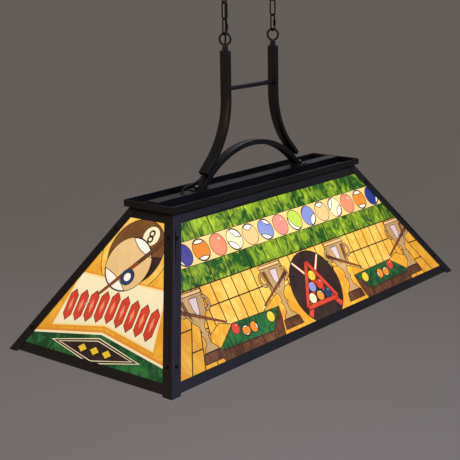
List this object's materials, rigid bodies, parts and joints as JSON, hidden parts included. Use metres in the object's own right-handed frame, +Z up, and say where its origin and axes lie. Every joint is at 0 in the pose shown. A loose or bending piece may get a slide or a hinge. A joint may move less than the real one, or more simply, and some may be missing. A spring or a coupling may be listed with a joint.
{
  "type": "pool table lamp",
  "caption": "Long tapered pool table shade with art panels in a black steel frame, on a two-arm hanger with chains and a ceiling canopy.",
  "frame": {"origin": "middle of the crossbar's top face, where the canopy meets the ceiling", "axes": "+Z up into the ceiling, X along the lamp, front of the shade at -Y"},
  "size_m": [1.1246, 0.4856, 0.902],
  "materials": {
    "black_frame": "satin powder coat",
    "black_screw": "black oxide",
    "chain_steel": "black enamel",
    "zinc": "zinc plated",
    "art_panel": "printed translucent acrylic",
    "holder": "moulded phenolic",
    "bulb_glass": "frosted",
    "bulb_cap": "rolled screw cap",
    "cord": "matt PVC",
    "wire": "PVC",
    "bushing": "moulded nylon",
    "connector": "moulded"
  },
  "bodies": {
    "ceiling": {"ceiling_crossbar": "zinc", "canopy": "black_frame", "canopy_screws": "zinc", "canopy_cap_nuts": "black_screw", "canopy_loop_left": "black_frame", "canopy_loop_right": "black_frame", "canopy_loop_nuts": "zinc", "canopy_bushing": "bushing", "wire_connectors": "connector", "cord_at_canopy": "cord"},
    "top_link_left": {"top_link_left": "chain_steel", "cord_at_top_link": "cord"},
    "chain_left": {"chain_links_left": "chain_steel", "cord_along_chain": "cord"},
    "quick_link_left": {"quick_link_left": "chain_steel", "cord_at_quick_link": "cord"},
    "link_sleeve_left": {"link_sleeve_left": "chain_steel"},
    "lamp": {"cord_at_ring": "cord", "cord_in_arm": "cord", "cord_to_bar": "cord", "arm_ring_left": "black_frame", "arm_ring_right": "black_frame", "arm_cap_left": "black_frame", "arm_cap_right": "black_frame", "arm_left": "black_frame", "arm_right": "black_frame", "cross_rod": "black_frame", "arch_bar": "black_frame", "arch_spacers": "black_frame", "arch_feet": "black_frame", "foot_bolts": "zinc", "foot_nuts": "black_screw", "crown_rim": "black_frame", "crown_plate": "black_frame", "lamp_bar": "black_frame", "bar_bushing": "bushing", "bar_wires": "wire", "crown_screws": "black_screw", "corner_post_front_left": "black_frame", "corner_post_front_right": "black_frame", "corner_post_back_left": "black_frame", "corner_post_back_right": "black_frame", "side_frame_front": "black_frame", "side_frame_back": "black_frame", "side_frame_left": "black_frame", "side_frame_right": "black_frame", "panel_front": "art_panel", "panel_back": "art_panel", "panel_left": "art_panel", "panel_right": "art_panel", "post_screws": "black_screw", "post_nuts": "zinc", "panel_clips": "zinc", "lamp_holders": "holder", "bulb_caps": "bulb_cap", "bulb_globes": "bulb_glass"},
    "top_link_right": {"top_link_right": "chain_steel"},
    "chain_right": {"chain_links_right": "chain_steel"},
    "quick_link_right": {"quick_link_right": "chain_steel"},
    "link_sleeve_right": {"link_sleeve_right": "chain_steel"}
  },
  "joints": [
    {"name": "side_sway", "type": "hinge", "parent": "ceiling", "child": "top_link_left", "pos_m": [-0.089, 0, -0.0587], "axis": [1, 0, 0], "range_deg": [-15, 15], "deforming": ["cord_at_canopy", "cord_at_top_link"]},
    {"name": "end_sway", "type": "hinge", "parent": "top_link_left", "child": "chain_left", "pos_m": [-0.089, 0, -0.094], "axis": [0, 1, 0], "range_deg": [-15, 15], "deforming": ["cord_along_chain"]},
    {"name": "end_return_left", "type": "hinge", "parent": "chain_left", "child": "quick_link_left", "pos_m": [-0.089, 0, -0.2034], "axis": [0, 1, 0], "range_deg": [-15, 15], "deforming": ["cord_at_quick_link"]},
    {"name": "sleeve_left", "type": "slide", "parent": "quick_link_left", "child": "link_sleeve_left", "axis": [0, 0, 1], "range_m": [0, 0.007]},
    {"name": "side_sway_right", "type": "hinge", "parent": "ceiling", "child": "top_link_right", "pos_m": [0.089, 0, -0.0587], "axis": [1, 0, 0], "range_deg": [-15, 15]},
    {"name": "end_sway_right", "type": "hinge", "parent": "top_link_right", "child": "chain_right", "pos_m": [0.089, 0, -0.094], "axis": [0, 1, 0], "range_deg": [-15, 15]},
    {"name": "end_return_right", "type": "hinge", "parent": "chain_right", "child": "quick_link_right", "pos_m": [0.089, 0, -0.2034], "axis": [0, 1, 0], "range_deg": [-15, 15]},
    {"name": "sleeve_right", "type": "slide", "parent": "quick_link_right", "child": "link_sleeve_right", "axis": [0, 0, 1], "range_m": [0, 0.007]},
    {"name": "rock", "type": "hinge", "parent": "quick_link_left", "child": "lamp", "pos_m": [-0.089, 0, -0.2387], "axis": [1, 0, 0], "range_deg": [-12, 12], "deforming": ["cord_at_ring"]}
  ],
  "couplings": [
    {"joint": "end_return_left", "follows": "end_sway", "ratio": -1},
    {"joint": "side_sway_right", "follows": "side_sway", "ratio": 1},
    {"joint": "end_sway_right", "follows": "end_sway", "ratio": 1},
    {"joint": "end_return_right", "follows": "end_sway", "ratio": -1}
  ]
}
